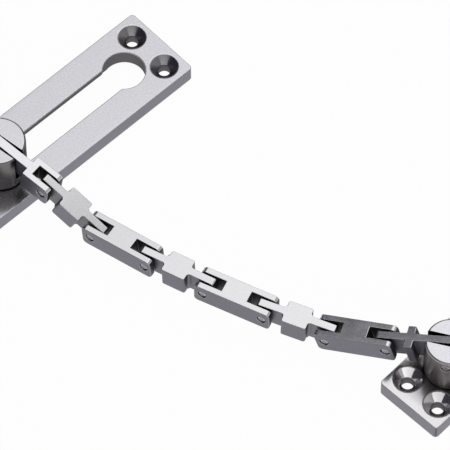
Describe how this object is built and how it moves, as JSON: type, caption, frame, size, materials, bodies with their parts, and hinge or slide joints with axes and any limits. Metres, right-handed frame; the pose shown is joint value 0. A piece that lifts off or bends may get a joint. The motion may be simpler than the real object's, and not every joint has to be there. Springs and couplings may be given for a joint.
{
  "type": "door chain guard",
  "caption": "Steel door chain guard: a keyhole plate with a sliding swivel knob, a chain of flat forked and tongued links on pins, and a swivel post on a screw plate.",
  "frame": {"origin": "On the back face of the keyhole plate, midway between the two screw holes at its keyhole end.", "axes": "X along the slot, with +X towards the keyhole end. +Z away from the door. The chain leaves towards -Y. The back faces of both plates lie in z = 0."},
  "size_m": [0.1026, 0.1848, 0.0245],
  "materials": {
    "plate_steel": "satin brushed",
    "knob_steel": "satin turned",
    "link_steel": "satin brushed",
    "pin_steel": "plain turned",
    "screw_steel": "plain"
  },
  "bodies": {
    "keyhole_plate": {"keyhole_plate": "plate_steel"},
    "slider": {"slider_foot": "plate_steel"},
    "knob": {"knob_head": "knob_steel", "knob_screw": "screw_steel", "knob_pin": "pin_steel"},
    "first_link": {"first_link": "link_steel", "link_pin_1": "pin_steel"},
    "cross_link_1": {"cross_link_1": "link_steel"},
    "fork_link_1": {"fork_link_1": "link_steel", "link_pin_2": "pin_steel", "link_pin_3": "pin_steel"},
    "cross_link_2": {"cross_link_2": "link_steel"},
    "fork_link_2": {"fork_link_2": "link_steel", "link_pin_4": "pin_steel", "link_pin_5": "pin_steel"},
    "cross_link_3": {"cross_link_3": "link_steel"},
    "fork_link_3": {"fork_link_3": "link_steel", "link_pin_6": "pin_steel", "link_pin_7": "pin_steel"},
    "end_link": {"end_link": "link_steel"},
    "anchor_post": {"anchor_post": "knob_steel", "anchor_pin": "pin_steel", "anchor_screw": "screw_steel"},
    "anchor_plate": {"anchor_plate": "plate_steel"}
  },
  "joints": [
    {"name": "knob_slide", "type": "slide", "parent": "keyhole_plate", "child": "slider", "axis": [1, 0, 0], "range_m": [-0.007, 0.056]},
    {"name": "knob_swivel", "type": "hinge", "parent": "slider", "child": "knob", "pos_m": [-0.067, 0, 0.007], "axis": [0, 0, 1], "range_deg": [-52, 37]},
    {"name": "knob_pin_hinge", "type": "hinge", "parent": "knob", "child": "first_link", "pos_m": [-0.067, 0, 0.0195], "axis": [-0.9894, -0.1452, 0], "range_deg": [-7, 95]},
    {"name": "link_hinge_1", "type": "hinge", "parent": "first_link", "child": "cross_link_1", "pos_m": [-0.06393, -0.02091, 0.01615], "axis": [0.9894, 0.1452, 0], "range_deg": [-100, 62]},
    {"name": "link_hinge_2", "type": "hinge", "parent": "cross_link_1", "child": "fork_link_1", "pos_m": [-0.06032, -0.04026, 0.00776], "axis": [-0.9721, -0.2327, -0.0283], "range_deg": [-110, 58]},
    {"name": "link_hinge_3", "type": "hinge", "parent": "fork_link_1", "child": "cross_link_2", "pos_m": [-0.05537, -0.06106, 0.00871], "axis": [0.9721, 0.2327, 0.0283], "range_deg": [-87, 82]},
    {"name": "link_hinge_4", "type": "hinge", "parent": "cross_link_2", "child": "fork_link_2", "pos_m": [-0.04874, -0.08141, 0.009], "axis": [-0.9323, -0.3608, -0.0239], "range_deg": [-83, 86]},
    {"name": "link_hinge_5", "type": "hinge", "parent": "fork_link_2", "child": "cross_link_3", "pos_m": [-0.04102, -0.10136, 0.00869], "axis": [0.9323, 0.3608, 0.0239], "range_deg": [-83, 86]},
    {"name": "link_hinge_6", "type": "hinge", "parent": "cross_link_3", "child": "fork_link_3", "pos_m": [-0.03184, -0.12068, 0.00796], "axis": [-0.8822, -0.4702, -0.0264], "range_deg": [-102, 67]},
    {"name": "link_hinge_7", "type": "hinge", "parent": "fork_link_3", "child": "end_link", "pos_m": [-0.02225, -0.13898, 0.01354], "axis": [0.8822, 0.4702, 0.0264], "range_deg": [-82, 70]},
    {"name": "anchor_pin_hinge", "type": "hinge", "parent": "end_link", "child": "anchor_post", "pos_m": [-0.0113, -0.15637, 0.0195], "axis": [-0.8462, -0.5329, 0], "range_deg": [-5, 100]},
    {"name": "anchor_swivel", "type": "hinge", "parent": "anchor_post", "child": "anchor_plate", "pos_m": [-0.0113, -0.15637, 0.0065], "axis": [0, 0, 1], "continuous": true}
  ]
}
